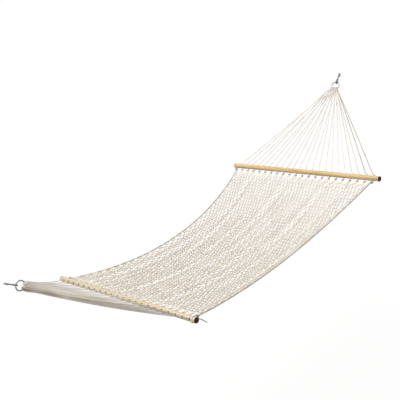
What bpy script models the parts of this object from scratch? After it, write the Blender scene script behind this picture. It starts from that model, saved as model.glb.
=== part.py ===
"""Rope hammock with two spreader bars, hung between its own S-hooks.

Frame: +X from the foot end to the head end, +Y to the left of someone lying
with the head at +X, +Z up. The origin is the centre of the whole object's box.
The hammock is drawn as it hangs, level and empty: the two bars at one height,
the net sagging between them and each fan of ropes rising to its ring.
All lengths are in metres and all angles in degrees.
"""

import math

import bmesh
import bpy
from mathutils import Matrix, Vector

# ---- driving dimensions -------------------------------------------------
BAR_LENGTH = 1.400  # over the end caps
BAR_DIAMETER = 0.035
BAR_HOLES = 22  # one per fan rope
HOLE_SPAN = 1.316  # first hole to last
HOLE_DIAMETER = 0.0095
HOLE_TILT = 28.5  # rise of each hole towards the fan
CAP_DIAMETER = 0.0356
CAP_FLOOR = 0.003  # thickness of the cap's disc, outside the wood
PLUG_DIAMETER = 0.012  # the cap's stud, pushed into the bar's end
PLUG_LENGTH = 0.018  # from the cap's outer face

BED_CHORD = 1.750  # between the bar axes
BED_SAG = 0.145  # of the two long edges, at mid-length
BED_TROUGH = 0.040  # how much lower the middle lies than the edges
BED_FLATNESS = 6  # power of the trough's outline: nearly flat, with turned-up edges
BED_WAIST = 0.107  # each edge draws in by this at mid-length
BED_THICKNESS = 0.009
EDGE_ROPE_DIAMETER = 0.010

FAN_RISE = 37.3
FAN_LENGTH = 0.720  # bar axis to ring centre
FAN_APEX = 0.700  # bar axis to the point that the ropes aim at
ROPE_DIAMETER = 0.0065
ROPE_START = 0.0205  # distance of a rope's end from the bar axis
ROPE_STOP = 0.585  # where the ropes meet and are drawn as one bundle

RING_OUTSIDE = 0.066
RING_WIRE = 0.008
EYE_THICKNESS = 0.0065  # rope lying round the ring
EYE_ARC = 48.0  # half the arc of ring that the rope covers
EYE_CLEARANCE = 0.0008

HEAD_TWIST = -70.0  # of the head end's ring and hook about the line of pull; the foot's stand upright

HOOK_WIRE = 0.008
HOOK_LOOP = 0.0145  # radius of each loop, to the middle of the wire
HOOK_LENGTH = 0.088
HOOK_CLOSED_END = 108.0  # where the ring's loop stops, almost shut
HOOK_OPEN_END = -15.0  # where the outer loop stops, open

GAP = 0.0003  # between pieces that touch

# ---- derived ------------------------------------------------------------
BAR_R = BAR_DIAMETER / 2
RING_R = (RING_OUTSIDE - RING_WIRE) / 2
HOOK_CENTRES = HOOK_LENGTH - HOOK_WIRE - 2 * HOOK_LOOP
HOOK_PIVOT = RING_R - RING_WIRE / 2 - GAP - HOOK_WIRE / 2  # from the ring's centre
RISE = math.radians(FAN_RISE)
PULL = Vector((math.cos(RISE), 0, math.sin(RISE)))  # in an end's own frame
ACROSS = Vector((0, 1, 0))
UP = Vector((-math.sin(RISE), 0, math.cos(RISE)))


def twisted(prefix):
    """Across and up for an end's ring and hook."""
    q = math.radians(HEAD_TWIST if prefix == "head" else 0.0)
    return (
        ACROSS * math.cos(q) + UP * math.sin(q),
        UP * math.cos(q) - ACROSS * math.sin(q),
    )


# the head hook's outer loop reaches the highest
LOOP_TOP = HOOK_LOOP * math.hypot(PULL.z, twisted("head")[0].z)
TOP = (
    (FAN_LENGTH + HOOK_PIVOT + HOOK_LOOP + HOOK_CENTRES) * PULL.z
    + LOOP_TOP
    + HOOK_WIRE / 2
)  # above the bar axes
BOTTOM = -(BED_SAG + BED_TROUGH) - BED_THICKNESS / 2
BAR_Z = -(TOP + BOTTOM) / 2


# ---- helpers ------------------------------------------------------------
def clear_scene():
    for ob in list(bpy.data.objects):
        bpy.data.objects.remove(ob, do_unlink=True)


def material(name, colour, rough, metal=0.0):
    mat = bpy.data.materials.new(name)
    mat.use_nodes = True
    shader = mat.node_tree.nodes["Principled BSDF"]
    shader.inputs["Base Color"].default_value = (*colour, 1)
    shader.inputs["Roughness"].default_value = rough
    shader.inputs["Metallic"].default_value = metal
    mat.diffuse_color = (*colour, 1)
    return mat


def add(name, data, mat, parent=None, matrix=None):
    """Links an object, under an empty where one is given, at a matrix in that empty's frame."""
    ob = bpy.data.objects.new(name, data)
    bpy.context.scene.collection.objects.link(ob)
    if data is not None and mat is not None:
        data.materials.append(mat)
    ob.parent = parent
    ob.matrix_basis = matrix or Matrix.Identity(4)
    return ob


def mesh_of(bm, name, smooth=True):
    bmesh.ops.recalc_face_normals(bm, faces=bm.faces)
    me = bpy.data.meshes.new(name)
    bm.to_mesh(me)
    bm.free()
    if smooth:
        me.shade_smooth()
        me.set_sharp_from_angle(angle=math.radians(35))
    return me


def frame_at(origin, x, y, z):
    m = Matrix((x, y, z)).transposed().to_4x4()
    m.translation = origin
    return m


def cutter(ob):
    ob.hide_render = True
    ob.display_type = "WIRE"
    return ob


def boolean(ob, other, operation):
    mod = ob.modifiers.new(operation.lower(), "BOOLEAN")
    mod.operation = operation
    mod.solver = "EXACT"
    mod.object = other
    return mod


def skin(bm, loops, closed=False):
    """Bridges equal rings of vertices and caps the two ends unless it is closed."""
    rows = [[bm.verts.new(p) for p in loop] for loop in loops]
    n = len(rows[0])
    pairs = list(zip(rows, rows[1:] + ([rows[0]] if closed else []), strict=False))
    for a, b in pairs:
        for i in range(n):
            j = (i + 1) % n
            bm.faces.new((a[i], a[j], b[j], b[i]))
    if not closed:
        bm.faces.new(rows[0][::-1])
        bm.faces.new(rows[-1])
    return rows


def circle(centre, a, b, radius, count, turn=0.0):
    return [
        centre
        + a * (radius * math.cos(turn + 2 * math.pi * i / count))
        + b * (radius * math.sin(turn + 2 * math.pi * i / count))
        for i in range(count)
    ]


def torus_mesh(name, major, minor, around, section):
    """A ring about local Z."""
    bm = bmesh.new()
    loops = []
    for i in range(around):
        t = 2 * math.pi * i / around
        out = Vector((math.cos(t), math.sin(t), 0))
        loops.append(circle(out * major, out, Vector((0, 0, 1)), minor, section))
    skin(bm, loops, closed=True)
    return mesh_of(bm, name)


def tube(name, points, radius, mat, parent=None, matrix=None, resolution=2):
    """A rope or a wire along a smooth line of points."""
    cu = bpy.data.curves.new(name, "CURVE")
    cu.dimensions = "3D"
    cu.bevel_depth = radius
    cu.bevel_resolution = resolution
    cu.use_fill_caps = True
    sp = cu.splines.new("POLY")
    sp.points.add(len(points) - 1)
    for q, p in zip(sp.points, points, strict=True):
        q.co = (*p, 1)
    return add(name, cu, mat, parent, matrix)


def smooth_line(route, count):
    """Points read at even steps from a Catmull-Rom curve through the route's own points."""
    pts = [Vector(p) for p in route]
    pts = [2 * pts[0] - pts[1], *pts, 2 * pts[-1] - pts[-2]]
    fine = []
    for a, b, c, d in zip(pts, pts[1:], pts[2:], pts[3:], strict=False):
        for k in range(24):
            t = k / 24
            fine.append(
                0.5
                * (
                    2 * b
                    + (c - a) * t
                    + (2 * a - 5 * b + 4 * c - d) * t * t
                    + (3 * b - a - 3 * c + d) * t**3
                )
            )
    fine.append(pts[-2])
    total = sum((q - p).length for p, q in zip(fine, fine[1:], strict=False))
    out, run, want = [fine[0]], 0.0, total / (count - 1)
    for p, q in zip(fine, fine[1:], strict=False):
        step = (q - p).length
        while run + step >= want * len(out) - 1e-9 and len(out) < count - 1:
            out.append(p.lerp(q, (want * len(out) - run) / step))
        run += step
    out.append(fine[-1])
    return out


# ---- the bed ------------------------------------------------------------
def bed_depth(v):
    """Depth below the bars at mid-length: v across, from -1 to 1."""
    return BED_SAG + BED_TROUGH * (1 - abs(v) ** BED_FLATNESS)


def bed_height(t, v):
    """Height of the net's middle surface: t along (-1 to 1, bar to bar), v across."""
    return BAR_Z - bed_depth(v) * (1 - t * t)


def bed_half_width(t):
    return HOLE_SPAN / 2 - BED_WAIST * (1 - t * t)


def bed_slope(t, v):
    dz = 2 * t * bed_depth(v) / (BED_CHORD / 2)
    return Vector((-dz, 0, 1)).normalized()


def make_bed(rope):
    along, over = 24, 14
    clear = (BAR_R + 0.0009) * 0.94  # the net's end faces the round bar
    t_end = 1 - clear / (BED_CHORD / 2)
    loops = []
    for i in range(along + 1):
        t = -t_end + 2 * t_end * i / along
        half = bed_half_width(t) - EDGE_ROPE_DIAMETER / 2 - 0.0008
        top, low = [], []
        for j in range(over + 1):
            v = math.sin(math.pi / 2 * (2 * j / over - 1))  # closer together at the edges
            p = Vector((t * BED_CHORD / 2, v * half, bed_height(t, v)))
            n = bed_slope(t, v) * (BED_THICKNESS / 2)
            top.append(p + n)
            low.append(p - n)
        loops.append(low + top[::-1])
    bm = bmesh.new()
    rows = [[bm.verts.new(p) for p in loop] for loop in loops]
    n = len(rows[0])
    for a, b in zip(rows, rows[1:], strict=False):
        for i in range(n):
            j = (i + 1) % n
            bm.faces.new((a[i], a[j], b[j], b[i]))
    for row, flip in ((rows[0], True), (rows[-1], False)):
        for j in range(over):
            quad = (row[j], row[j + 1], row[n - 2 - j], row[n - 1 - j])
            bm.faces.new(quad[::-1] if flip else quad)
    add("net_bed", mesh_of(bm, "net_bed"), rope)

    for name, side in (("left_edge_rope", 1), ("right_edge_rope", -1)):
        pts = []
        last = t_end - 0.0017 / (BED_CHORD / 2)  # its ends are cut at a slant
        for i in range(31):
            t = last * (2 * i / 30 - 1)
            pts.append(
                (t * BED_CHORD / 2, side * bed_half_width(t), bed_height(t, side))
            )
        tube(name, pts, EDGE_ROPE_DIAMETER / 2, rope)


# ---- one end: bar, caps, fan, ring and hook -----------------------------
def hole_y(i):
    return HOLE_SPAN * (i / (BAR_HOLES - 1) - 0.5)


def make_bar(prefix, base, wood, black):
    length = BAR_LENGTH - 2 * CAP_FLOOR - 2 * GAP
    bm = bmesh.new()
    loops = [
        circle(Vector((0, y, 0)), Vector((1, 0, 0)), Vector((0, 0, 1)), r, 24)
        for y, r in (
            (-length / 2, BAR_R - 0.0015),
            (-length / 2 + 0.0015, BAR_R),
            (length / 2 - 0.0015, BAR_R),
            (length / 2, BAR_R - 0.0015),
        )
    ]
    skin(bm, loops)
    bar = add(
        prefix + "_spreader_bar", mesh_of(bm, prefix + "_spreader_bar"), wood, base
    )

    # one comb of drill rods cuts all the holes
    tilt = math.radians(HOLE_TILT)
    drill = Vector((math.cos(tilt), 0, math.sin(tilt)))
    side = Vector((-math.sin(tilt), 0, math.cos(tilt)))
    bm = bmesh.new()
    for i in range(BAR_HOLES):
        at = Vector((0, hole_y(i), 0))
        skin(
            bm,
            [
                circle(
                    at + drill * d, side, ACROSS, HOLE_DIAMETER / 2, 8, math.pi / 8
                )
                for d in (-BAR_R - 0.01, BAR_R + 0.01)
            ],
        )
    for way in (1, -1):
        skin(
            bm,
            [
                circle(
                    Vector((0, way * (BAR_LENGTH / 2 + d), 0)),
                    Vector((1, 0, 0)),
                    Vector((0, 0, 1)),
                    PLUG_DIAMETER / 2 + GAP,
                    16,
                )
                for d in (-PLUG_LENGTH - GAP, 0.01)
            ],
        )
    rods = cutter(add(prefix + "_drill", mesh_of(bm, prefix + "_drill"), None, base))
    boolean(bar, rods, "DIFFERENCE")

    # end caps, turned about the bar's axis: stud, disc, rounded outer face
    outer, stud = CAP_DIAMETER / 2, PLUG_DIAMETER / 2
    profile = [
        (0.0, PLUG_LENGTH),
        (stud - 0.0008, PLUG_LENGTH),
        (stud, PLUG_LENGTH - 0.0008),
        (stud, CAP_FLOOR),
        (outer, CAP_FLOOR),
        (outer, 0.0012),
        (outer - 0.0012, 0.0),
        (0.0, 0.0),
    ]
    for name, way in (("left", 1), ("right", -1)):
        bm = bmesh.new()
        rows = []
        for r, d in profile:
            y = way * (BAR_LENGTH / 2 - d)
            if r == 0:
                rows.append([bm.verts.new((0, y, 0))])
            else:
                rows.append(
                    [
                        bm.verts.new(p)
                        for p in circle(
                            Vector((0, y, 0)),
                            Vector((1, 0, 0)),
                            Vector((0, 0, 1)),
                            r,
                            24,
                        )
                    ]
                )
        for a, b in zip(rows, rows[1:], strict=False):
            for i in range(24):
                j = (i + 1) % 24
                if len(a) == 1:
                    bm.faces.new((a[0], b[i], b[j]))
                elif len(b) == 1:
                    bm.faces.new((a[i], a[j], b[0]))
                else:
                    bm.faces.new((a[i], a[j], b[j], b[i]))
        cap = f"{prefix}_bar_cap_{name}"
        add(cap, mesh_of(bm, cap), black, base)


def make_fan(prefix, base, rope):
    # the ropes are straight and all aim at one point just short of the ring's centre
    apex = PULL * FAN_APEX
    for i in range(BAR_HOLES):
        foot = Vector((0, hole_y(i), 0))
        way = apex - foot
        a, b = ROPE_START / FAN_APEX, ROPE_STOP / FAN_APEX
        z = way.normalized()
        x = UP
        y = z.cross(x)
        bm = bmesh.new()
        ez = Vector((0, 0, 1))
        skin(
            bm,
            [
                circle(
                    ez * (way.length * f),
                    Vector((1, 0, 0)),
                    Vector((0, 1, 0)),
                    ROPE_DIAMETER / 2,
                    8,
                )
                for f in (a, b)
            ],
        )
        name = f"{prefix}_fan_rope_{i + 1:02d}"
        add(name, mesh_of(bm, name), rope, base, frame_at(foot, x, y, z))

    # where they meet, they gather from a flat row into a round bunch and loop round the ring
    ring_c = FAN_LENGTH
    start = ROPE_STOP + ROPE_DIAMETER / 2 * 0.73 + 0.0008
    stop = ring_c - RING_R - 0.002
    loops = []
    steps = 9
    for k in range(steps + 1):
        f = k / steps
        s = start + (stop - start) * f
        ease = f * f * (3 - 2 * f)
        wide = (HOLE_SPAN / 2) * (1 - s / FAN_APEX) + ROPE_DIAMETER * (0.75 + 0.6 * f)
        tall = 0.004 + (0.0165 - 0.004) * ease
        loop = []
        for j in range(16):
            q = 2 * math.pi * j / 16
            c, d = math.cos(q), math.sin(q)
            loop.append(
                Vector(
                    (
                        s,
                        math.copysign(abs(c) ** 0.6, c) * wide,
                        math.copysign(abs(d) ** 0.8, d) * tall,
                    )
                )
            )
        loops.append(loop)
    bm = bmesh.new()
    skin(bm, loops)
    here = frame_at(Vector((0, 0, 0)), PULL, ACROSS, UP)
    eye = add(prefix + "_rope_eye", mesh_of(bm, prefix + "_rope_eye"), rope, base, here)

    over, up = twisted(prefix)
    there = frame_at(Vector((0, 0, 0)), PULL, over, up)
    bore = RING_WIRE / 2 + EYE_CLEARANCE
    bm = bmesh.new()
    loops = []
    turns = 12
    for k in range(turns + 1):
        t = math.pi + math.radians(EYE_ARC) * (2 * k / turns - 1)
        out = Vector((math.cos(t), 0, math.sin(t)))
        loops.append(
            circle(
                Vector((ring_c, 0, 0)) + out * RING_R,
                out,
                Vector((0, 1, 0)),
                bore + EYE_THICKNESS,
                14,
                math.pi / 14,
            )
        )
    skin(bm, loops)
    wrap = cutter(add(prefix + "_wrap", mesh_of(bm, prefix + "_wrap"), None, base, there))
    boolean(eye, wrap, "UNION")
    lane = torus_mesh(prefix + "_lane", RING_R, bore, 40, 12)
    lane_at = there @ frame_at(
        Vector((ring_c, 0, 0)),
        Vector((1, 0, 0)),
        Vector((0, 0, 1)),
        Vector((0, -1, 0)),
    )
    lane = cutter(add(prefix + "_lane", lane, None, base, lane_at))
    boolean(eye, lane, "DIFFERENCE")


def make_ring_and_hook(prefix, base, steel, zinc):
    ring = torus_mesh(prefix + "_ring", RING_R, RING_WIRE / 2, 40, 12)
    over, up = twisted(prefix)
    at = frame_at(PULL * FAN_LENGTH, PULL, up, PULL.cross(up))
    add(prefix + "_ring", ring, steel, base, at)

    # the S crosses the ring's plane at a right angle: local X along the pull
    a, gap = HOOK_LOOP, HOOK_CENTRES
    lean = math.asin(2 * a / gap)  # of the straight spine between the loops
    low, high = Vector((a, 0, 0)), Vector((a + gap, 0, 0))

    def on(centre, degrees):
        q = math.radians(degrees)
        return centre + Vector((math.sin(q), math.cos(q), 0)) * a

    lean_d = math.degrees(lean)
    points = []
    first, last = HOOK_CLOSED_END - 360, lean_d
    for k in range(23):
        points.append(on(low, first + (last - first) * k / 22))
    spine_a, spine_b = points[-1], on(high, 180 + lean_d)
    for k in range(1, 6):
        points.append(spine_a.lerp(spine_b, k / 6))
    for k in range(19):
        points.append(
            on(high, 180 + lean_d + (HOOK_OPEN_END - 180 - lean_d) * k / 18)
        )
    at = frame_at(PULL * (FAN_LENGTH + HOOK_PIVOT), PULL, over, PULL.cross(over))
    tube(prefix + "_s_hook", points, HOOK_WIRE / 2, zinc, base, at, 2)


def make_tail(rope):
    """The loose end of the right edge rope, past its knot beside the foot bar."""
    x, y = -BED_CHORD / 2, -HOLE_SPAN / 2
    route = [
        (x + 0.034, y - 0.012, BAR_Z - 0.016),
        (x + 0.037, y - 0.030, BAR_Z - 0.019),
        (x + 0.041, y - 0.048, BAR_Z - 0.026),
        (x + 0.046, y - 0.066, BAR_Z - 0.036),
    ]
    line = smooth_line(route, 9)
    tube("foot_rope_tail", line, ROPE_DIAMETER / 2, rope)


def main():
    clear_scene()
    rope = material("cotton_rope", (0.80, 0.76, 0.66), 0.9)
    wood = material("oak", (0.76, 0.55, 0.29), 0.45)
    black = material("dark_plastic", (0.03, 0.024, 0.018), 0.5)
    steel = material("bright_zinc", (0.62, 0.63, 0.64), 0.32, 1.0)
    zinc = material("dull_zinc", (0.33, 0.33, 0.34), 0.4, 1.0)
    make_bed(rope)
    make_tail(rope)
    for prefix, way in (("head", 1), ("foot", -1)):
        base = add(prefix + "_end", None, None)
        base.location = (way * BED_CHORD / 2, 0, BAR_Z)
        base.rotation_euler = (0, 0, 0 if way > 0 else math.pi)
        make_bar(prefix, base, wood, black)
        make_fan(prefix, base, rope)
        make_ring_and_hook(prefix, base, steel, zinc)
    bpy.context.view_layer.update()


main()
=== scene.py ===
"""The looks of the rope hammock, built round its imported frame."""

import math

import bmesh
import bpy
import numpy as np
from mathutils import Matrix, Vector


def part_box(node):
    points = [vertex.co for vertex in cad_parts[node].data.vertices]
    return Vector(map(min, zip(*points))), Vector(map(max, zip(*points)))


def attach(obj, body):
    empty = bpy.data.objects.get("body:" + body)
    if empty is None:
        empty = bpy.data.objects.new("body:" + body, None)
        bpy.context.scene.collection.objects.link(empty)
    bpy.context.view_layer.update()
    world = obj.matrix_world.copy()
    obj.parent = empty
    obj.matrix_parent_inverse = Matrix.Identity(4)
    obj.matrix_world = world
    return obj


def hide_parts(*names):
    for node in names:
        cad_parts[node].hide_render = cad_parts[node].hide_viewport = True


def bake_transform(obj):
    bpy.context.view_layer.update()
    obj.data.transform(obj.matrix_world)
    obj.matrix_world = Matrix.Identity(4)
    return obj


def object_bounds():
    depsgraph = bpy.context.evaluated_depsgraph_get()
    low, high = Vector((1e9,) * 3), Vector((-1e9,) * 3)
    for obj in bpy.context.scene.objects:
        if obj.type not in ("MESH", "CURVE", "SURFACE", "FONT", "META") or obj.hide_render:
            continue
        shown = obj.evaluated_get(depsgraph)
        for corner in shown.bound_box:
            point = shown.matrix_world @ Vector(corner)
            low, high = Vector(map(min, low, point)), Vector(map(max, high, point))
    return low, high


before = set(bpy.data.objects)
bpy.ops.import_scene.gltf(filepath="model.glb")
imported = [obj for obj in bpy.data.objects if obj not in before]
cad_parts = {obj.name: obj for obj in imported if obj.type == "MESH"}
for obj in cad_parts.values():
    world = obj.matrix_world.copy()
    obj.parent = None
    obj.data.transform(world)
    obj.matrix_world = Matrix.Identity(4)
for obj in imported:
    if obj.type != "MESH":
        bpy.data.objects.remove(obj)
cad_lo, cad_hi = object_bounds()

# ---- sizes repeated from part.py, in metres --------------------------------
HOLES = 22
HOLE_SPAN = 1.316
HOLE_D = 0.0095
HOLE_TILT = math.radians(28.5)
BED_SAG, BED_TROUGH, BED_FLATNESS, BED_WAIST = 0.145, 0.040, 6, 0.107
EDGE_D = 0.010
ROPE_D = 0.0065
NET_D = 0.0070
RISE = math.radians(37.3)
HOOK_LOOP, HOOK_WIRE, HOOK_LENGTH = 0.0145, 0.008, 0.088
EYE_ARC = math.radians(46)
TWIST = {"head": math.radians(-70), "foot": 0.0}  # of the ring and hook about the pull
CAP_D, CAP_FLOOR = 0.0356, 0.003
PLUG_D, PLUG_LENGTH = 0.012, 0.018


def middle(node):
    lo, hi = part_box(node)
    return (lo + hi) / 2


head_bar, foot_bar = middle("head_spreader_bar"), middle("foot_spreader_bar")
lo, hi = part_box("head_spreader_bar")
BAR_R = (hi.z - lo.z) / 2
BAR_HALF = (hi.y - lo.y) / 2
lo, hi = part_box("head_bar_cap_left")
BAR_OVER = hi.y  # half the length over the caps
CHORD_HALF = head_bar.x
BAR_Z = head_bar.z
lo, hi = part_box("foot_ring")
RING_WIRE = (hi.y - lo.y) / 2
RING_R = (hi.z - lo.z) / 2 - RING_WIRE
RING_AT = middle("head_ring")
FAN_LENGTH = (RING_AT - head_bar).length
HOOK_CENTRES = HOOK_LENGTH - HOOK_WIRE - 2 * HOOK_LOOP
HOOK_PIVOT = RING_R - RING_WIRE - 0.0003 - HOOK_WIRE / 2
KNOT_AT = 0.040  # knots from the bar's axis, along the net
FAN_SAG = {"head": 0.006, "foot": 0.012}  # of each fan rope under its own weight

ENDS = (("head", 1.0), ("foot", -1.0))


# ---- camera ----------------------------------------------------------------
def make_camera():
    az, el, roll = (math.radians(a) for a in (53.691, 21.597, -18.365))
    d = Vector(
        (math.cos(az) * math.cos(el), math.sin(az) * math.cos(el), -math.sin(el))
    )
    r = d.cross(Vector((0, 0, 1))).normalized()
    u = r.cross(d)
    c, s = math.cos(roll), math.sin(roll)
    r2, u2 = c * r + s * u, c * u - s * r
    cam = bpy.data.cameras.new("camera")
    cam.sensor_width = 36.0
    cam.lens = 838.9 / 400 * 36.0
    cam.clip_end = 500
    ob = bpy.data.objects.new("camera", cam)
    bpy.context.scene.collection.objects.link(ob)
    m = Matrix((r2, u2, -d)).transposed().to_4x4()
    m.translation = Vector((-2.2203, -2.9447, 1.6347)) * 1.4 + Vector((0, 0, BAR_Z))
    ob.matrix_world = m
    bpy.context.scene.camera = ob
    return ob


make_camera()


# ---- mesh helpers ----------------------------------------------------------
class Shape:
    """Collects vertices and faces of many tubes and writes them as one mesh."""

    def __init__(self):
        self.v, self.f, self.n = [], [], 0

    def put(self, verts, faces):
        self.v.append(np.asarray(verts, float))
        self.f += [(np.asarray(f, np.int64) + self.n) for f in faces if len(f)]
        self.n += len(verts)

    def mesh(self, name, smooth=True):
        v = np.concatenate(self.v)
        me = bpy.data.meshes.new(name)
        loops = np.concatenate([f.ravel() for f in self.f])
        counts = np.concatenate([np.full(len(f), f.shape[1]) for f in self.f])
        starts = np.concatenate([[0], np.cumsum(counts)[:-1]])
        me.vertices.add(len(v))
        me.vertices.foreach_set("co", v.astype(np.float32).ravel())
        me.loops.add(len(loops))
        me.loops.foreach_set("vertex_index", loops.astype(np.int32))
        me.polygons.add(len(counts))
        me.polygons.foreach_set("loop_start", starts.astype(np.int32))
        me.polygons.foreach_set("loop_total", counts.astype(np.int32))
        me.update(calc_edges=True)
        me.validate()
        if smooth:
            me.shade_smooth()
        return me


def profile(sides, lobes):
    """Angles and radii (as a share) of a rope's outline: three strands, or plain round."""
    if not lobes:
        return np.arange(sides) * 2 * np.pi / sides, np.ones(sides)
    per = sides // 3
    offs = {
        2: ((-60, 0.74), (0, 1.0)),
        3: ((-60, 0.70), (-22, 0.98), (22, 0.98)),
        4: ((-60, 0.66), (-32, 0.93), (0, 1.0), (32, 0.93)),
    }[per]
    a, r = [], []
    for k in range(3):
        for o, q in offs:
            a.append(math.radians(120 * k + o))
            r.append(q)
    return np.array(a), np.array(r)


def tube(shape, path, radius, sides=9, lay=0.022, ref=(0, 0, 1), turn=0.0, scale=None):
    """A rope along a path: three twisted strands when lay is given, else a round wire. Its ends are domed."""
    p = np.asarray(path, float)
    t = np.gradient(p, axis=0)
    t /= np.linalg.norm(t, axis=1)[:, None]
    ref = np.broadcast_to(np.asarray(ref, float), p.shape)
    a = np.cross(ref, t)
    a /= np.linalg.norm(a, axis=1)[:, None]
    b = np.cross(t, a)
    run = np.concatenate([[0], np.cumsum(np.linalg.norm(np.diff(p, axis=0), axis=1))])
    ang, rad = profile(sides, lay is not None)
    twist = turn + (2 * np.pi * run / lay if lay else 0 * run)
    q = ang[None, :] + twist[:, None]
    size = radius * (np.ones(len(p)) if scale is None else scale)
    w = (np.cos(q)[:, :, None] * a[:, None, :] + np.sin(q)[:, :, None] * b[:, None, :])
    v = p[:, None, :] + w * (rad[None, :] * size[:, None])[:, :, None]
    n, s = len(p), sides
    verts = v.reshape(-1, 3)
    i = np.arange(n - 1)[:, None] * s
    j = np.arange(s)[None, :]
    k = (j + 1) % s
    quads = np.stack([i + j, i + k, i + s + k, i + s + j], -1).reshape(-1, 4)
    c0, c1 = n * s, n * s + 1
    verts = np.concatenate(
        [verts, [p[0] - t[0] * size[0] * 0.45], [p[-1] + t[-1] * size[-1] * 0.45]]
    )
    j = np.arange(s)
    k = (j + 1) % s
    tri0 = np.stack([np.full(s, c0), k, j], -1)
    tri1 = np.stack([np.full(s, c1), (n - 1) * s + j, (n - 1) * s + k], -1)
    shape.put(verts, [quads, np.concatenate([tri0, tri1])])


def resample(points, step):
    p = np.asarray(points, float)
    run = np.concatenate([[0], np.cumsum(np.linalg.norm(np.diff(p, axis=0), axis=1))])
    n = max(2, int(round(run[-1] / step)) + 1)
    s = np.linspace(0, run[-1], n)
    return np.stack([np.interp(s, run, p[:, i]) for i in range(3)], -1)


def bezier(a, b, c, d, n=24):
    t = np.linspace(0, 1, n)[:, None]
    a, b, c, d = (np.asarray(x, float)[None, :] for x in (a, b, c, d))
    return a * (1 - t) ** 3 + 3 * b * t * (1 - t) ** 2 + 3 * c * t * t * (1 - t) + d * t**3


def spline(points, per=16):
    """A smooth line (Catmull-Rom) through points."""
    p = [np.asarray(x, float) for x in points]
    p = [2 * p[0] - p[1], *p, 2 * p[-1] - p[-2]]
    out = []
    for a, b, c, d in zip(p, p[1:], p[2:], p[3:], strict=False):
        for k in range(per):
            t = k / per
            out.append(
                0.5
                * (
                    2 * b
                    + (c - a) * t
                    + (2 * a - 5 * b + 4 * c - d) * t * t
                    + (3 * b - a - 3 * c + d) * t**3
                )
            )
    out.append(p[-2])
    return np.array(out)


def piece(name, mesh, mat):
    mesh.materials.append(mat)
    ob = bpy.data.objects.new(name, mesh)
    bpy.context.scene.collection.objects.link(ob)
    return ob


# ---- materials -------------------------------------------------------------
def new_material(name):
    mat = bpy.data.materials.new(name)
    mat.use_nodes = True
    nt = mat.node_tree
    return mat, nt, nt.nodes["Principled BSDF"]


def node(nt, kind, **values):
    n = nt.nodes.new(kind)
    for k, v in values.items():
        if k in n.inputs:
            n.inputs[k].default_value = v
        else:
            setattr(n, k, v)
    return n


def ramp(nt, stops):
    n = nt.nodes.new("ShaderNodeValToRGB")
    e = n.color_ramp.elements
    while len(e) < len(stops):
        e.new(0.5)
    for x, (pos, col) in zip(e, stops, strict=True):
        x.position = pos
        x.color = (*col, 1)
    return n


def rope_material(name, light, mid, dark):
    """Twisted cotton: mottled off-white, with hairy fibres in the bump."""
    mat, nt, bsdf = new_material(name)
    link = nt.links.new
    coord = node(nt, "ShaderNodeTexCoord")
    big = node(nt, "ShaderNodeTexNoise", Scale=9.0, Detail=3.0, Roughness=0.6)
    fine = node(nt, "ShaderNodeTexNoise", Scale=420.0, Detail=4.0, Roughness=0.65)
    for n in (big, fine):
        link(coord.outputs["Object"], n.inputs["Vector"])
    mix = node(nt, "ShaderNodeMath", operation="MULTIPLY_ADD")
    mix.inputs[1].default_value = 0.55
    link(fine.outputs["Fac"], mix.inputs[0])
    half = node(nt, "ShaderNodeMath", operation="MULTIPLY")
    half.inputs[1].default_value = 0.45
    link(big.outputs["Fac"], half.inputs[0])
    link(half.outputs[0], mix.inputs[2])
    cr = ramp(nt, ((0.32, dark), (0.5, mid), (0.68, light)))
    link(mix.outputs[0], cr.inputs["Fac"])
    link(cr.outputs["Color"], bsdf.inputs["Base Color"])
    rr = node(nt, "ShaderNodeMapRange")
    rr.inputs["To Min"].default_value = 0.82
    rr.inputs["To Max"].default_value = 0.97
    link(fine.outputs["Fac"], rr.inputs["Value"])
    link(rr.outputs["Result"], bsdf.inputs["Roughness"])
    bump = node(nt, "ShaderNodeBump", Strength=0.45, Distance=0.0012)
    link(fine.outputs["Fac"], bump.inputs["Height"])
    link(bump.outputs["Normal"], bsdf.inputs["Normal"])
    bsdf.inputs["Sheen Weight"].default_value = 0.25
    bsdf.inputs["Sheen Roughness"].default_value = 0.5
    bsdf.inputs["Specular IOR Level"].default_value = 0.25
    return mat


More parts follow.
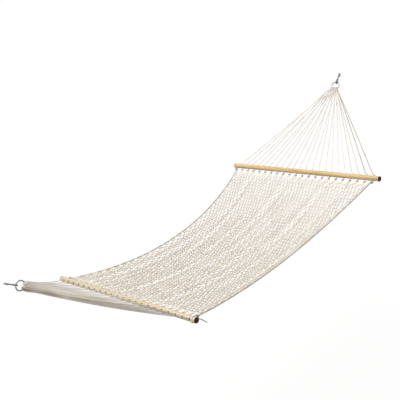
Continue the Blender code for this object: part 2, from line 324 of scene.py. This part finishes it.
def wood_material(name, shade, pale=0.0):
    def tone(*colour):
        return tuple(shade * (c + (w - c) * pale) for c, w in zip(colour, (0.78, 0.70, 0.58)))

    """Light golden hardwood turned to a dowel: long grain along Y, pores, satin varnish."""
    mat, nt, bsdf = new_material(name)
    link = nt.links.new
    coord = node(nt, "ShaderNodeTexCoord")
    long = node(nt, "ShaderNodeMapping")
    long.inputs["Scale"].default_value = (1.0, 0.045, 1.0)
    link(coord.outputs["Object"], long.inputs["Vector"])
    warp = node(nt, "ShaderNodeTexNoise", Scale=34.0, Detail=3.0, Roughness=0.55)
    link(long.outputs["Vector"], warp.inputs["Vector"])
    grain = node(nt, "ShaderNodeTexNoise", Scale=210.0, Detail=5.0, Roughness=0.62)
    link(long.outputs["Vector"], grain.inputs["Vector"])
    pores = node(nt, "ShaderNodeTexNoise", Scale=900.0, Detail=2.0, Roughness=0.6)
    link(long.outputs["Vector"], pores.inputs["Vector"])
    a = node(nt, "ShaderNodeMath", operation="MULTIPLY_ADD")
    a.inputs[1].default_value = 0.5
    b = node(nt, "ShaderNodeMath", operation="MULTIPLY")
    b.inputs[1].default_value = 0.5
    link(grain.outputs["Fac"], b.inputs[0])
    link(warp.outputs["Fac"], a.inputs[0])
    link(b.outputs[0], a.inputs[2])
    cr = ramp(
        nt,
        [
            (0.30, tone(0.48, 0.32, 0.14)),
            (0.46, tone(0.65, 0.475, 0.25)),
            (0.58, tone(0.73, 0.565, 0.33)),
            (0.74, tone(0.82, 0.67, 0.44)),
        ],
    )
    link(a.outputs[0], cr.inputs["Fac"])
    dk = ramp(nt, ((0.33, (0.45, 0.36, 0.28)), (0.43, (1, 1, 1))))
    link(pores.outputs["Fac"], dk.inputs["Fac"])
    mul = node(nt, "ShaderNodeMix", data_type="RGBA", blend_type="MULTIPLY")
    mul.inputs[0].default_value = 0.55
    link(cr.outputs["Color"], mul.inputs[6])
    link(dk.outputs["Color"], mul.inputs[7])
    link(mul.outputs[2], bsdf.inputs["Base Color"])
    rr = node(nt, "ShaderNodeMapRange")
    rr.inputs["To Min"].default_value = 0.52
    rr.inputs["To Max"].default_value = 0.34
    link(grain.outputs["Fac"], rr.inputs["Value"])
    link(rr.outputs["Result"], bsdf.inputs["Roughness"])
    bump = node(nt, "ShaderNodeBump", Strength=0.25, Distance=0.0006)
    link(pores.outputs["Fac"], bump.inputs["Height"])
    link(bump.outputs["Normal"], bsdf.inputs["Normal"])
    return mat


def cap_material():
    mat, nt, bsdf = new_material("bar_cap")
    link = nt.links.new
    coord = node(nt, "ShaderNodeTexCoord")
    n = node(nt, "ShaderNodeTexNoise", Scale=1400.0, Detail=2.0)
    link(coord.outputs["Object"], n.inputs["Vector"])
    cr = ramp(nt, ((0.3, (0.006, 0.0045, 0.003)), (0.7, (0.016, 0.012, 0.008))))
    link(n.outputs["Fac"], cr.inputs["Fac"])
    link(cr.outputs["Color"], bsdf.inputs["Base Color"])
    rr = node(nt, "ShaderNodeMapRange")
    rr.inputs["To Min"].default_value = 0.38
    rr.inputs["To Max"].default_value = 0.55
    link(n.outputs["Fac"], rr.inputs["Value"])
    link(rr.outputs["Result"], bsdf.inputs["Roughness"])
    bump = node(nt, "ShaderNodeBump", Strength=0.2, Distance=0.0003)
    link(n.outputs["Fac"], bump.inputs["Height"])
    link(bump.outputs["Normal"], bsdf.inputs["Normal"])
    return mat


def zinc_material(name, low, high, rough):
    """Zinc plate: faint spangle, handling marks."""
    mat, nt, bsdf = new_material(name)
    link = nt.links.new
    coord = node(nt, "ShaderNodeTexCoord")
    n = node(nt, "ShaderNodeTexNoise", Scale=260.0, Detail=4.0, Roughness=0.6)
    link(coord.outputs["Object"], n.inputs["Vector"])
    cr = ramp(nt, ((0.35, low), (0.65, high)))
    link(n.outputs["Fac"], cr.inputs["Fac"])
    link(cr.outputs["Color"], bsdf.inputs["Base Color"])
    bsdf.inputs["Metallic"].default_value = 1.0
    rr = node(nt, "ShaderNodeMapRange")
    rr.inputs["To Min"].default_value = rough + 0.1
    rr.inputs["To Max"].default_value = rough - 0.06
    link(n.outputs["Fac"], rr.inputs["Value"])
    link(rr.outputs["Result"], bsdf.inputs["Roughness"])
    bump = node(nt, "ShaderNodeBump", Strength=0.15, Distance=0.0003)
    link(n.outputs["Fac"], bump.inputs["Height"])
    link(bump.outputs["Normal"], bsdf.inputs["Normal"])
    return mat


ROPE = rope_material("rope", (0.94, 0.91, 0.86), (0.90, 0.865, 0.80), (0.78, 0.73, 0.65))
NET = rope_material("net_rope", (0.945, 0.905, 0.83), (0.90, 0.845, 0.755), (0.73, 0.65, 0.55))
# painted shade: a darker copy of the rope colour, for the fan ropes partly turned from the light and for the foot's
# knots
MID_SHADE_ROPE = rope_material("mid_shade_rope", (0.86, 0.81, 0.73), (0.77, 0.71, 0.62), (0.55, 0.48, 0.39))
# painted light: a lighter copy of the rope colour, for the foot fan's ropes on the lit side
LIT_ROPE = rope_material("painted_light_rope", (0.97, 0.94, 0.88), (0.95, 0.91, 0.845), (0.88, 0.82, 0.74))
# painted shade: a much darker copy of the rope colour, for the fan ropes furthest from the light and the left edge
# rope
DEEP_SHADE_ROPE = rope_material("deep_shade_rope", (0.60, 0.55, 0.49), (0.48, 0.435, 0.38), (0.30, 0.265, 0.23))
# painted shade: a dark copy of the rope colour for the right edge rope, on its side away from the light
EDGE = rope_material("edge_rope", (0.66, 0.62, 0.55), (0.52, 0.48, 0.42), (0.30, 0.27, 0.23))
# painted shade: a darker copy of the rope colour for the head's knots and the ropes to them, in the bar's shadow
KNOT = rope_material("knot_rope", (0.60, 0.58, 0.55), (0.47, 0.455, 0.43), (0.30, 0.29, 0.27))
# painted shade: a dark copy of the rope colour for the loose end and its knot beside the foot bar
TAIL = rope_material("tail_rope", (0.36, 0.33, 0.29), (0.28, 0.255, 0.22), (0.16, 0.14, 0.12))
# one wood in two tones, paler on the foot bar and more golden on the head bar, set to how each bar looks in the
# light: painted light and shade
WOOD = {"head": wood_material("head_bar_wood", 0.89, -0.22), "foot": wood_material("foot_bar_wood", 0.80, 0.45)}
# painted shade: the walls of the holes and of the bores for the caps' studs are near-black, for the shade inside them
BORE_SHADE = wood_material("bar_bore_shade", 0.035)
CAP = cap_material()
RING = zinc_material("ring_zinc", (0.29, 0.295, 0.305), (0.44, 0.445, 0.45), 0.34)
HOOK = zinc_material("hook_zinc", (0.18, 0.18, 0.185), (0.30, 0.30, 0.305), 0.38)


# ---- the bed ---------------------------------------------------------------
def bed_z(x, y):
    t = x / CHORD_HALF
    hw = half_width(x)
    v = np.clip(y / hw, -1, 1)
    return BAR_Z - (BED_SAG + BED_TROUGH * (1 - np.abs(v) ** BED_FLATNESS)) * (1 - t * t)


def half_width(x):
    t = x / CHORD_HALF
    return HOLE_SPAN / 2 - BED_WAIST * (1 - t * t)


def hole_y(i):
    return HOLE_SPAN * (i / (HOLES - 1) - 0.5)


def ease(u):
    u = np.clip(u, 0, 1)
    return u * u * (3 - 2 * u)


X_KNOT = CHORD_HALF - KNOT_AT * 0.935
PER_HOLE = 4  # net ropes gathered into each hole
STRANDS = PER_HOLE * HOLES
ROWS = 54


def column(k, x):
    """The line where two neighbouring ropes hook each other: some columns draw together, some apart."""
    hw = half_width(x)
    v = -1 + 2 * k / STRANDS
    swing = (
        0.55 * np.sin(k * 0.95 + x * 2.3 + 0.6)
        + 0.35 * np.sin(k * 1.57 - x * 4.1 + 2.0)
        + 0.30 * np.sin(k * 0.42 + x * 6.7)
    )
    calm = ease((1 - abs(v)) / 0.12) * ease((X_KNOT - np.abs(x)) / 0.25)
    return (hw - 0.006) * v + swing * calm * 0.0052


def ripple(x, y):
    """Shallow furrows along the net, where the ropes pull unevenly."""
    v = y / half_width(x)
    return (
        0.0032 * np.sin(v * 31 + 1.3 * np.sin(x * 2.6) + 0.4)
        + 0.0022 * np.sin(v * 53 - x * 2.0)
    ) * ease((1 - np.abs(v)) / 0.1)


def strand_path(j, step=0.0045):
    """One rope of the net: a flattened spiral that hooks its neighbours on both sides."""
    r = NET_D / 2
    row = 2 * X_KNOT / ROWS
    n = int(2 * X_KNOT / step * 1.25)
    x = np.linspace(-X_KNOT, X_KNOT, n)
    th = np.pi * (x + X_KNOT) / row + (j % 2) * np.pi
    # a little unevenness, the same for the ropes that meet
    hw = half_width(x)
    u = ease((X_KNOT - np.abs(x)) / 0.055)
    left, right = column(j, x), column(j + 1, x)
    p = right - left
    base = (left + right) / 2
    near = hole_y(j // PER_HOLE) + (j % PER_HOLE - (PER_HOLE - 1) / 2) * r * 0.9
    wob = 0.0008 * np.sin(x * 57 + j * 2.1) * u
    amp = (p / 2 + r * 0.95) * u
    tri = (np.cos(th) + 0.07 * np.cos(3 * th)) / 1.07
    y = near * (1 - u) + base * u + amp * tri + wob
    h = 0.0048 * u * np.ones(n)
    # the outermost ropes stop against the edge rope
    stop = hw - EDGE_D / 2 - r * 0.4
    y = np.clip(y, -stop, stop)
    z = bed_z(x, y) + h * np.sin(th) + ripple(x, y) * u
    xs = x + 0.0012 * np.sin(x * 43 + j * 1.7) * u
    return np.stack([xs, y, z], -1)


def make_net():
    groups = 11
    per = STRANDS // groups
    for g in range(groups):
        sh = Shape()
        for j in range(g * per, (g + 1) * per):
            tube(sh, strand_path(j), NET_D / 2, 6, 0.026, (0, 0, 1), j * 1.3)
        ob = piece(f"net_ropes_{g + 1:02d}", sh.mesh(f"net_ropes_{g + 1:02d}"), NET)
        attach(ob, "bed")
        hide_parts("net_bed")


def make_edges():
    for name, side in (("left", 1), ("right", -1)):
        x = np.linspace(-X_KNOT, X_KNOT, 480)
        y = side * half_width(x)
        z = bed_z(x, y)
        sh = Shape()
        tube(sh, np.stack([x, y, z], -1), EDGE_D / 2, 12, 0.034, (0, 0, 1))
        # both edge ropes get dark copies of the rope colour, the left one the darkest: painted shade
        ob = piece(f"{name}_edge", sh.mesh(f"{name}_edge"), DEEP_SHADE_ROPE if side > 0 else EDGE)
        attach(ob, "bed")
        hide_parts(f"{name}_edge_rope")


def trefoil(centre, axis, size, phase):
    """A pulled-tight knot round a rope that runs along axis."""
    axis = Vector(axis).normalized()
    side = axis.cross(Vector((0, 1, 0))).normalized()
    third = axis.cross(side)
    t = np.linspace(0, 2 * np.pi, 57)
    a = (2 + np.cos(3 * t)) * np.cos(2 * t + phase)
    b = (2 + np.cos(3 * t)) * np.sin(2 * t + phase)
    c = np.sin(3 * t) * 1.5
    m = np.array([side, third, axis])
    return np.asarray(centre) + (np.stack([a, b, c], -1) * size) @ m


def knot(sh, centre, axis, size, radius, phase):
    p = trefoil(centre, axis, size, phase)
    c = np.asarray(centre, float)
    d = p - c
    tube(sh, p, radius, 6, None, d + np.asarray(axis) * 1e-4 + 1e-9)


# ---- one end ---------------------------------------------------------------
def end_frame(way):
    """Origin at the bar's axis, X outward, Z up: the foot end is the head end turned half round."""
    m = Matrix.Rotation(0 if way > 0 else math.pi, 4, "Z")
    m.translation = (way * CHORD_HALF, 0, BAR_Z)
    return m


def to_world(m, pts):
    a = np.array(m, float)
    return np.asarray(pts, float) @ a[:3, :3].T + a[:3, 3]


PULL = np.array([math.cos(RISE), 0, math.sin(RISE)])
UPN = np.array([-math.sin(RISE), 0, math.cos(RISE)])
YY = np.array([0.0, 1.0, 0.0])
DRILL = np.array([math.cos(HOLE_TILT), 0, math.sin(HOLE_TILT)])


def bed_knot(i):
    """Where rope i's knot lies, in an end's own frame."""
    y = hole_y(i)
    x = -(CHORD_HALF - X_KNOT)
    z = float(bed_z(X_KNOT, y)) - BAR_Z
    return np.array([x, y, z])


def turned(prefix):
    """Across and up for an end's ring and hook."""
    q = TWIST[prefix]
    return YY * math.cos(q) + UPN * math.sin(q), UPN * math.cos(q) - YY * math.sin(q)


def fan_half(prefix, i, m, side, centre, over, up):
    """From the middle of the bar's hole to the ring's wire, in the end's frame."""
    y = hole_y(i)
    mid = np.array([0, y, 0])
    apex = PULL * 0.700
    way = (apex - mid) / np.linalg.norm(apex - mid)
    mouth = mid + DRILL * (BAR_R - 0.002)
    off = mid + way * 0.045
    start = bezier(mid, mid + DRILL * 0.008, mouth - DRILL * 0.004, mouth, 8)
    bend = bezier(mouth, mouth + DRILL * 0.008, off - way * 0.012, off, 12)
    # bights: one of two layers round the wire, spread along the ring's arc
    # in the order of the holes, and the far side's at the top where the ring stands upright
    order = 1 if up[1] > 0.01 else -1
    a = math.pi - order * EYE_ARC * (2 * m / 10 - 1)
    out = PULL * math.cos(a) + up * math.sin(a)
    wire = centre + out * RING_R
    wrap = RING_WIRE + ROPE_D / 2 + 0.0006 + (m % 2) * 0.0046
    end = wire + over * (side * wrap)
    run = end - off
    run = run / np.linalg.norm(run)
    gather = bezier(end - run * 0.075 + out * 0.004, end - run * 0.04 + out * 0.006, end + out * 0.014, end, 16)
    turn = []
    for k in range(1, 9):
        q = math.pi / 2 * k / 8
        turn.append(wire + over * (side * wrap * math.cos(q)) - out * (wrap * math.sin(q)))
    t = np.linspace(0, 1, 60)[:, None]
    line = off + (gather[0] - off) * t
    line = line - UPN * (4 * FAN_SAG[prefix] * t * (1 - t))
    return np.concatenate([start[:-1], bend[:-1], line[:-1], gather, np.array(turn)])


def make_fan(prefix, way):
    m = end_frame(way)
    centre = PULL * FAN_LENGTH
    over, up = turned(prefix)
    for b in range(HOLES // 2):
        left = fan_half(prefix, 2 * b, b, -1, centre, over, up)
        right = fan_half(prefix, 2 * b + 1, b, 1, centre, over, up)
        path = np.concatenate([left, right[::-1][1:]])
        path = resample(path, 0.0032)
        sh = Shape()
        tube(sh, to_world(m, path), ROPE_D / 2, 9, 0.0215, to_world(m, [UPN])[0] - np.array(m.translation), b)
        name = f"{prefix}_fan_line_{b + 1:02d}"
        # the ropes on the side away from the light get darker copies of the rope colour, painted shade; the foot's
        # other ropes get a lighter copy, painted light
        shade_step = max(0, 2 - b) if prefix == "head" else min(2, max(0, b - 4) // 2)
        light = ROPE if prefix == "head" else LIT_ROPE
        ob = piece(name, sh.mesh(name), (light, MID_SHADE_ROPE, DEEP_SHADE_ROPE)[shade_step])
        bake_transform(ob)
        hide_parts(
            f"{prefix}_fan_rope_{2 * b + 1:02d}", f"{prefix}_fan_rope_{2 * b + 2:02d}"
        )
        if b == 0:
            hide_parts(prefix + "_rope_eye")

    # the knots on the net's side, with the rope between each and its hole
    sh = Shape()
    last = Shape()
    for i in range(HOLES):
        k = bed_knot(i)
        mid = np.array([0, hole_y(i), 0])
        along = (k - mid) / np.linalg.norm(k - mid)
        mouth = mid - DRILL * (BAR_R - 0.002)
        line = bezier(mid, mouth * 0.6 + mid * 0.4, mouth - DRILL * 0.006, k, 14)
        line = np.concatenate([line, [k + along * 0.004]])
        tube(sh, to_world(m, resample(line, 0.0032)), ROPE_D / 2, 9, 0.0215, YY, i)
        size = 0.0024 if i not in (0, HOLES - 1) else 0.0032
        # the knot the loose end comes out of is the biggest
        into, size = (last, 0.0044) if prefix == "foot" and i == HOLES - 1 else (sh, size)
        knot(into, to_world(m, [k])[0], to_world(m, [along])[0] - np.array(m.translation), size, 0.0030, i * 0.7)
    if prefix == "foot":
        # the loose end is brought once round the bar beside the last hole
        y0 = hole_y(HOLES - 1)
        q = np.linspace(math.radians(-150), math.radians(196), 90)
        r = BAR_R + ROPE_D / 2 + 0.0002
        f = np.linspace(0, 1, 90)
        turn = np.stack([-np.cos(q) * r, y0 + 0.0085 + 0.0105 * f, np.sin(q) * r], -1)
        lead = bezier(bed_knot(HOLES - 1), bed_knot(HOLES - 1) + [0.006, 0.003, -0.004], turn[0] - (turn[1] - turn[0]) * 3, turn[0], 12)
        tube(sh_wrap := Shape(), to_world(m, resample(np.concatenate([lead[:-1], turn]), 0.0026)), ROPE_D / 2, 9, 0.0215, YY, 0.4)
        wrap = piece("foot_end_turn", sh_wrap.mesh("foot_end_turn"), ROPE)
        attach(wrap, "foot_bar")
    k = bed_knot(0)
    d = k / np.linalg.norm([k[0], k[2]])
    d[1] = 0
    # the knots and the ropes from the holes get darker copies of the rope colour: painted shade under the bars
    ob = piece(prefix + "_knots", sh.mesh(prefix + "_knots"), KNOT if prefix == "head" else MID_SHADE_ROPE)
    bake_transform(ob)
    if prefix == "foot":
        # the loose end's knot gets the dark copy of the rope colour: painted shade
        ob = piece("foot_tail_knot", last.mesh("foot_tail_knot"), TAIL)
        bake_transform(ob)


def lathe(name, prof, count, mat):
    """prof: (radius, y) from inside to outside, turned about Y through the origin."""
    bm = bmesh.new()
    rows = []
    for r, y in prof:
        if r < 1e-7:
            rows.append([bm.verts.new((0, y, 0))])
        else:
            rows.append(
                [
                    bm.verts.new(
                        (
                            r * math.cos(2 * math.pi * i / count),
                            y,
                            r * math.sin(2 * math.pi * i / count),
                        )
                    )
                    for i in range(count)
                ]
            )
    for a, b in zip(rows, rows[1:], strict=False):
        for i in range(count):
            j = (i + 1) % count
            if len(a) == 1:
                bm.faces.new((a[0], b[i], b[j]))
            elif len(b) == 1:
                bm.faces.new((a[i], a[j], b[0]))
            else:
                bm.faces.new((a[i], a[j], b[j], b[i]))
    bmesh.ops.recalc_face_normals(bm, faces=bm.faces)
    me = bpy.data.meshes.new(name)
    bm.to_mesh(me)
    bm.free()
    me.shade_smooth()
    me.set_sharp_from_angle(angle=math.radians(40))
    return piece(name, me, mat)


def make_bar(prefix, way):
    m = end_frame(way)
    c = 0.0016
    prof = [(0, -BAR_HALF)]
    prof += [(BAR_R - c, -BAR_HALF), (BAR_R - c * 0.3, -BAR_HALF + c * 0.3), (BAR_R, -BAR_HALF + c)]
    prof += [(BAR_R, BAR_HALF - c), (BAR_R - c * 0.3, BAR_HALF - c * 0.3), (BAR_R - c, BAR_HALF), (0, BAR_HALF)]
    bar = lathe(prefix + "_bar_dowel", prof, 64, WOOD[prefix])
    bar.data.materials.append(BORE_SHADE)
    bar.matrix_world = m

    # every hole is drilled and slightly countersunk where the rope enters and leaves; its walls take a near-black
    # painted shade
    sh = Shape()
    side = np.array([-DRILL[2], 0, DRILL[0]])
    r, out = HOLE_D / 2, BAR_R
    steps = ((-out - 0.004, r + 0.0040), (-out + 0.0010, r + 0.0010), (-out + 0.0022, r), (out - 0.0050, r), (out - 0.0012, r + 0.0034), (out + 0.004, r + 0.0060))
    for i in range(HOLES):
        rows = []
        for d, rr in steps:
            a = np.arange(18) * 2 * np.pi / 18
            rows.append(
                np.array([0, hole_y(i), 0])
                + DRILL * d
                + np.outer(np.cos(a), side) * rr
                + np.outer(np.sin(a), YY) * rr
            )
        v = np.concatenate([*rows, [np.array([0, hole_y(i), 0]) + DRILL * steps[0][0]], [np.array([0, hole_y(i), 0]) + DRILL * steps[-1][0]]])
        n, s = len(steps), 18
        a = np.arange(n - 1)[:, None] * s
        j = np.arange(s)[None, :]
        k = (j + 1) % s
        quads = np.stack([a + j, a + k, a + s + k, a + s + j], -1).reshape(-1, 4)
        j = np.arange(s)
        k = (j + 1) % s
        tri = np.concatenate([np.stack([np.full(s, n * s), k, j], -1), np.stack([np.full(s, n * s + 1), (n - 1) * s + j, (n - 1) * s + k], -1)])
        sh.put(v, [quads, tri])
    for sgn in (-1, 1):
        a = np.arange(24) * 2 * np.pi / 24
        r = PLUG_D / 2 + 0.0003
        rows = [
            np.stack([r * np.cos(a), np.full(24, sgn * y), r * np.sin(a)], -1)
            for y in (BAR_OVER - PLUG_LENGTH - 0.0003, BAR_OVER + 0.01)
        ]
        v = np.concatenate([*rows, [[0, sgn * (BAR_OVER - PLUG_LENGTH - 0.0003), 0]], [[0, sgn * (BAR_OVER + 0.01), 0]]])
        j = np.arange(24)
        k = (j + 1) % 24
        quads = np.stack([j, k, 24 + k, 24 + j], -1)
        tri = np.concatenate([np.stack([np.full(24, 48), k, j], -1), np.stack([np.full(24, 49), 24 + j, 24 + k], -1)])
        sh.put(v, [quads, tri])
    me = sh.mesh(prefix + "_drill", smooth=False)
    bm = bmesh.new()
    bm.from_mesh(me)
    bmesh.ops.recalc_face_normals(bm, faces=bm.faces)
    bm.to_mesh(me)
    bm.free()
    me.materials.append(BORE_SHADE)
    cut = bpy.data.objects.new(prefix + "_drill", me)
    bpy.context.scene.collection.objects.link(cut)
    cut.matrix_world = m
    mod = bar.modifiers.new("holes", "BOOLEAN")
    mod.operation = "DIFFERENCE"
    mod.solver = "EXACT"
    mod.material_mode = "TRANSFER"
    mod.object = cut
    bpy.context.view_layer.update()
    dg = bpy.context.evaluated_depsgraph_get()
    made = bpy.data.meshes.new_from_object(bar.evaluated_get(dg))
    bar.modifiers.clear()
    bar.data = made
    bpy.data.objects.remove(cut, do_unlink=True)
    made.shade_smooth()
    made.set_sharp_from_angle(angle=math.radians(35))
    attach(bar, prefix + "_bar")
    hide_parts(prefix + "_spreader_bar")

    for name, sgn in (("left", 1), ("right", -1)):
        outer, stud = CAP_D / 2, PLUG_D / 2
        prof = [(0, PLUG_LENGTH), (stud - 0.0008, PLUG_LENGTH), (stud, PLUG_LENGTH - 0.0008), (stud, CAP_FLOOR), (outer - 0.0003, CAP_FLOOR), (outer, CAP_FLOOR - 0.0003), (outer, 0.0014)]
        for k in range(1, 7):
            q = math.pi / 2 * k / 6
            prof.append((outer - 0.0014 + 0.0014 * math.cos(q), 0.0014 - 0.0014 * math.sin(q)))
        prof += [(0.0125, 0.0), (0.0115, 0.0004), (0.006, 0.0003), (0, 0.0003)]
        prof = [(rr, sgn * (BAR_OVER - d)) for rr, d in prof]
        cap = lathe(f"{prefix}_cap_{name}", prof, 48, CAP)
        cap.matrix_world = m
        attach(cap, prefix + "_bar")
        # the foot end is turned half round, so its caps' sides swap with it
        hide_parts(f"{prefix}_bar_cap_{name}")


def make_ring_and_hook(prefix, way):
    m = end_frame(way)
    centre = PULL * FAN_LENGTH
    over, up = turned(prefix)
    sh = Shape()
    n, s = 120, 20
    t = np.arange(n) * 2 * np.pi / n
    out = np.cos(t)[:, None] * PULL + np.sin(t)[:, None] * up
    # the weld: a low bead across the wire, on the side away from the hook
    weld = 1 + 0.075 * np.exp(-(((t - 1.9) / 0.07) ** 2))
    q = np.arange(s) * 2 * np.pi / s
    v = (
        centre
        + out[:, None, :] * (RING_R + RING_WIRE * weld[:, None, None] * np.cos(q)[None, :, None])
        + over * (RING_WIRE * weld[:, None, None] * np.sin(q)[None, :, None])
    ).reshape(-1, 3)
    i = np.arange(n)[:, None]
    j = np.arange(s)[None, :]
    quads = np.stack([i * s + j, ((i + 1) % n) * s + j, ((i + 1) % n) * s + (j + 1) % s, i * s + (j + 1) % s], -1).reshape(-1, 4)
    sh.put(to_world(m, v), [quads])
    me = sh.mesh(prefix + "_steel_ring")
    bm = bmesh.new()
    bm.from_mesh(me)
    bmesh.ops.recalc_face_normals(bm, faces=bm.faces)
    bm.to_mesh(me)
    bm.free()
    me.shade_smooth()
    ob = piece(prefix + "_steel_ring", me, RING)
    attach(ob, prefix + "_ring")
    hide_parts(prefix + "_ring")

    a, gap = HOOK_LOOP, HOOK_CENTRES
    lean = math.degrees(math.asin(2 * a / gap))
    root = centre + PULL * HOOK_PIVOT

    def on(c, deg):
        w = math.radians(deg)
        return root + PULL * (c + a * math.sin(w)) + over * (a * math.cos(w))

    pts = [on(a, -252 + (lean + 252) * k / 70) for k in range(71)]
    end = on(a + gap, 180 + lean)
    first = on(a, lean)
    pts += [first + (end - first) * k / 14 for k in range(1, 14)]
    pts += [on(a + gap, 180 + lean + (-195 - lean) * k / 60) for k in range(61)]
    pts = resample(pts, 0.0018)
    size = np.ones(len(pts))
    for k, f in enumerate((0.55, 0.83, 0.96)):
        size[k] = size[-1 - k] = f
    sh = Shape()
    tube(sh, to_world(m, pts), HOOK_WIRE / 2, 16, None, to_world(m, [up])[0] - np.array(m.translation), 0, size)
    ob = piece(prefix + "_hook", sh.mesh(prefix + "_hook"), HOOK)
    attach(ob, prefix + "_hook")
    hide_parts(prefix + "_s_hook")


def make_tail():
    """The loose end of the right edge rope, past its knot beside the foot bar."""
    x, y = -CHORD_HALF, -HOLE_SPAN / 2
    route = [
        (x + 0.034, y - 0.012, BAR_Z - 0.016),
        (x + 0.037, y - 0.030, BAR_Z - 0.019),
        (x + 0.041, y - 0.048, BAR_Z - 0.026),
        (x + 0.046, y - 0.066, BAR_Z - 0.036),
    ]
    path = resample(spline(route), 0.0016)
    sh = Shape()
    tube(sh, path, ROPE_D / 2, 12, 0.0215, (0, 0, 1))
    # the loose end gets a dark copy of the rope colour: painted shade
    ob = piece("rope_tail", sh.mesh("rope_tail"), TAIL)
    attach(ob, "bed")
    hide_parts("foot_rope_tail")


make_tail()
make_net()
make_edges()
for prefix, way in ENDS:
    make_bar(prefix, way)
    make_fan(prefix, way)
    make_ring_and_hook(prefix, way)


# ---- floor, light, world ---------------------------------------------------
def make_stage():
    bm = bmesh.new()
    bmesh.ops.create_grid(bm, x_segments=1, y_segments=1, size=150)
    me = bpy.data.meshes.new("floor")
    bm.to_mesh(me)
    bm.free()
    # near-white, and clear from below, so that the underside can be looked at
    mat, nt, bsdf = new_material("floor")
    bsdf.inputs["Base Color"].default_value = (0.10, 0.10, 0.10, 1)
    bsdf.inputs["Roughness"].default_value = 0.9
    bsdf.inputs["Specular IOR Level"].default_value = 0.0
    bsdf.inputs["Emission Color"].default_value = (1, 1, 1, 1)
    bsdf.inputs["Emission Strength"].default_value = 0.87
    geo = node(nt, "ShaderNodeNewGeometry")
    clear = node(nt, "ShaderNodeBsdfTransparent")
    mix = node(nt, "ShaderNodeMixShader")
    nt.links.new(geo.outputs["Backfacing"], mix.inputs[0])
    nt.links.new(bsdf.outputs[0], mix.inputs[1])
    nt.links.new(clear.outputs[0], mix.inputs[2])
    nt.links.new(mix.outputs[0], nt.nodes["Material Output"].inputs["Surface"])
    me.materials.append(mat)
    ob = bpy.data.objects.new("floor", me)
    ob.location = (0, 0, cad_lo.z - 1.15)
    bpy.context.scene.collection.objects.link(ob)
    ob.visible_diffuse = False
    ob.visible_glossy = False

    world = bpy.data.worlds.new("studio")
    world.use_nodes = True
    nt = world.node_tree
    bg = nt.nodes["Background"]
    coord = node(nt, "ShaderNodeTexCoord")
    sep = node(nt, "ShaderNodeSeparateXYZ")
    nt.links.new(coord.outputs["Generated"], sep.inputs[0])
    sky = node(nt, "ShaderNodeMapRange")
    sky.inputs["From Min"].default_value = -0.25
    sky.inputs["From Max"].default_value = 0.35
    nt.links.new(sep.outputs["Z"], sky.inputs["Value"])
    cr = ramp(nt, ((0.0, (0.40, 0.375, 0.34)), (0.42, (0.69, 0.675, 0.65)), (1.0, (0.93, 0.92, 0.90))))
    nt.links.new(sky.outputs["Result"], cr.inputs["Fac"])
    nt.links.new(cr.outputs["Color"], bg.inputs["Color"])
    bg.inputs["Strength"].default_value = 1.0
    bpy.context.scene.world = world

    def sun(name, direction, strength, angle, colour=(1, 1, 1)):
        li = bpy.data.lights.new(name, "SUN")
        li.energy = strength
        li.angle = math.radians(angle)
        li.color = colour
        ob = bpy.data.objects.new(name, li)
        ob.rotation_mode = "QUATERNION"
        ob.rotation_quaternion = Vector(direction).to_track_quat("-Z", "Y")
        bpy.context.scene.collection.objects.link(ob)

    # from the upper left and behind, as the tops of the bars are the brightest
    sun("key", (0.20, -0.50, -1.0), 1.7, 20, (1.0, 0.975, 0.93))
    # and what a white room gives back on the foot's side
    sun("fill", (0.90, 0.35, -0.14), 0.35, 12, (1.0, 0.96, 0.91))
    scene = bpy.context.scene
    scene.view_settings.view_transform = "Standard"
    scene.view_settings.exposure = 0.0


make_stage()
